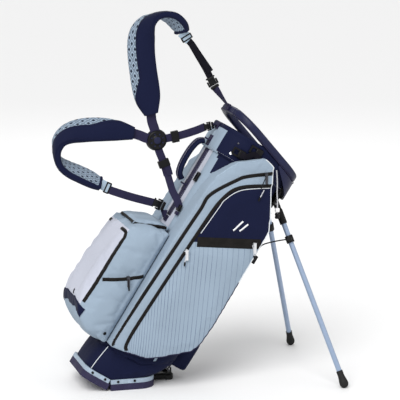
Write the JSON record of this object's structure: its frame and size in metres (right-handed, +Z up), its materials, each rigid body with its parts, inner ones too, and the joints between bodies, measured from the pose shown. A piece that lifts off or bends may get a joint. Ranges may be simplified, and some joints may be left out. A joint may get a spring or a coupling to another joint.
{
  "type": "golf stand bag",
  "caption": "Leaning golf stand bag with folding legs worked by its tilting base, club dividers, zipped pockets, hoop handle and a double shoulder harness.",
  "frame": {"origin": "on the ground under the middle of the base, in the standing pose", "axes": "+Z up; +X from the base towards the legs; +Y from the near garment pocket to the far one; the tube leans 32 degrees from +Z towards +X"},
  "size_m": [0.827, 0.534, 1.1015],
  "materials": {
    "black_plastic": "satin moulded",
    "black_rubber": "matt",
    "cord": "braided",
    "glass_fibre": "pultruded rod",
    "leg_metal": "satin anodised",
    "light_fabric": "woven",
    "light_plastic": "satin moulded",
    "mesh_fabric": "perforated mesh over foam",
    "navy_fabric": "woven",
    "navy_plastic": "satin moulded",
    "navy_webbing": "ribbed webbing",
    "slider_metal": "satin",
    "sole_rubber": "matt",
    "steel": "brushed",
    "zip_black": "coated zip tape"
  },
  "bodies": {
    "bag": {"ball_pocket": "light_fabric", "base_floor": "navy_plastic", "belly_panel": "navy_fabric", "boot_skirt": "navy_fabric", "chest_zip_band": "zip_black", "collar_hood": "navy_plastic", "cord_lock": "black_plastic", "divider_grid": "black_plastic", "divider_sheets": "navy_fabric", "fabric_cuff": "light_fabric", "garment_pocket_far": "light_fabric", "garment_pocket_near": "light_fabric", "hip_pad": "navy_fabric", "lanyard": "cord", "leg_bracket": "black_plastic", "leg_pins": "steel", "moulded_loops": "black_plastic", "rear_band": "light_plastic", "rear_plate": "navy_plastic", "rear_sole": "sole_rubber", "sewn_webbing": "navy_webbing", "side_panels": "light_fabric", "spine_panel": "light_fabric", "stay_rods": "glass_fibre", "top_ring": "navy_plastic", "valuables_pocket": "light_fabric", "wire_guide": "black_plastic", "zip_tracks_far": "zip_black", "zip_tracks_near": "zip_black"},
    "base": {"base_sole": "sole_rubber", "base_band": "light_plastic", "base_plate": "navy_plastic", "base_pin": "steel", "lever_arm": "black_plastic", "arm_tip": "black_rubber"},
    "push_rods": {"push_rods": "steel"},
    "leg_near": {"leg_socket_near": "black_plastic", "leg_tube_near": "leg_metal", "wire_clamp_near": "black_plastic", "leg_foot_near": "black_rubber", "leg_wire_near": "steel"},
    "leg_far": {"leg_socket_far": "black_plastic", "leg_tube_far": "leg_metal", "wire_clamp_far": "black_plastic", "leg_foot_far": "black_rubber", "leg_wire_far": "steel"},
    "harness": {"strap_hub": "black_plastic", "shoulder_pad_upper": "mesh_fabric", "shoulder_pad_lower": "mesh_fabric", "harness_straps": "navy_webbing", "strap_buckles": "black_plastic", "strap_sliders": "black_plastic", "end_webs": "navy_webbing"},
    "grab_handle": {"grab_handle": "mesh_fabric"},
    "slider_outer_near": {"zip_slider_outer_near": "slider_metal"},
    "slider_inner_near": {"zip_slider_inner_near": "slider_metal"},
    "slider_outer_far": {"zip_slider_outer_far": "slider_metal"},
    "slider_inner_far": {"zip_slider_inner_far": "slider_metal"},
    "slider_chest": {"zip_slider_chest": "slider_metal"},
    "slider_ball": {"zip_slider_ball": "slider_metal"}
  },
  "joints": [
    {"name": "base_tilt", "type": "hinge", "parent": "bag", "child": "base", "pos_m": [-0.028, 0, 0.026], "axis": [0, 1, 0], "range_deg": [0, 32], "deforming": ["boot_skirt"]},
    {"name": "rod_slide", "type": "slide", "parent": "bag", "child": "push_rods", "axis": [0.6262, 0, 0.7797], "range_m": [-0.1038, 0]},
    {"name": "leg_near_swing", "type": "hinge", "parent": "bag", "child": "leg_near", "pos_m": [0.49232, -0.058, 0.52369], "axis": [-0.3959, -0.8903, 0.2249], "range_deg": [-49.35, 0], "deforming": ["leg_wire_near"]},
    {"name": "leg_far_swing", "type": "hinge", "parent": "bag", "child": "leg_far", "pos_m": [0.49232, 0.058, 0.52369], "axis": [0.3959, -0.8903, -0.2249], "range_deg": [-49.35, 0], "deforming": ["leg_wire_far"]},
    {"name": "harness_swing", "type": "hinge", "parent": "bag", "child": "harness", "pos_m": [0.2607, 0, 0.66252], "axis": [0.5299, 0, 0.848], "range_deg": [-60, 60], "deforming": ["end_webs"]},
    {"name": "handle_swing", "type": "hinge", "parent": "bag", "child": "grab_handle", "pos_m": [0.25222, 0, 0.65839], "axis": [0.5299, 0, 0.848], "range_deg": [-60, 60], "stiffness_Nm_per_rad": 0.2},
    {"name": "outer_zip_near", "type": "slide", "parent": "bag", "child": "slider_outer_near", "axis": [0.9983, 0, 0.059], "range_m": [-0.04, 0.018]},
    {"name": "outer_zip_far", "type": "slide", "parent": "bag", "child": "slider_outer_far", "axis": [0.9983, 0, 0.059], "range_m": [-0.04, 0.018]},
    {"name": "inner_zip_near", "type": "slide", "parent": "bag", "child": "slider_inner_near", "axis": [0.5689, 0, 0.8224], "range_m": [-0.255, 0.07]},
    {"name": "inner_zip_far", "type": "slide", "parent": "bag", "child": "slider_inner_far", "axis": [0.5689, 0, 0.8224], "range_m": [-0.255, 0.07]},
    {"name": "chest_zip", "type": "slide", "parent": "bag", "child": "slider_chest", "axis": [0.9955, 0, -0.0947], "range_m": [-0.155, 0.008]},
    {"name": "ball_zip", "type": "slide", "parent": "bag", "child": "slider_ball", "axis": [1, 0, 0.0001], "range_m": [-0.055, 0.03]}
  ],
  "couplings": [
    {"joint": "rod_slide", "follows": "base_tilt", "m_per_rad": -0.18585},
    {"joint": "leg_near_swing", "follows": "base_tilt", "ratio": -1.5422},
    {"joint": "leg_far_swing", "follows": "base_tilt", "ratio": -1.5422}
  ]
}
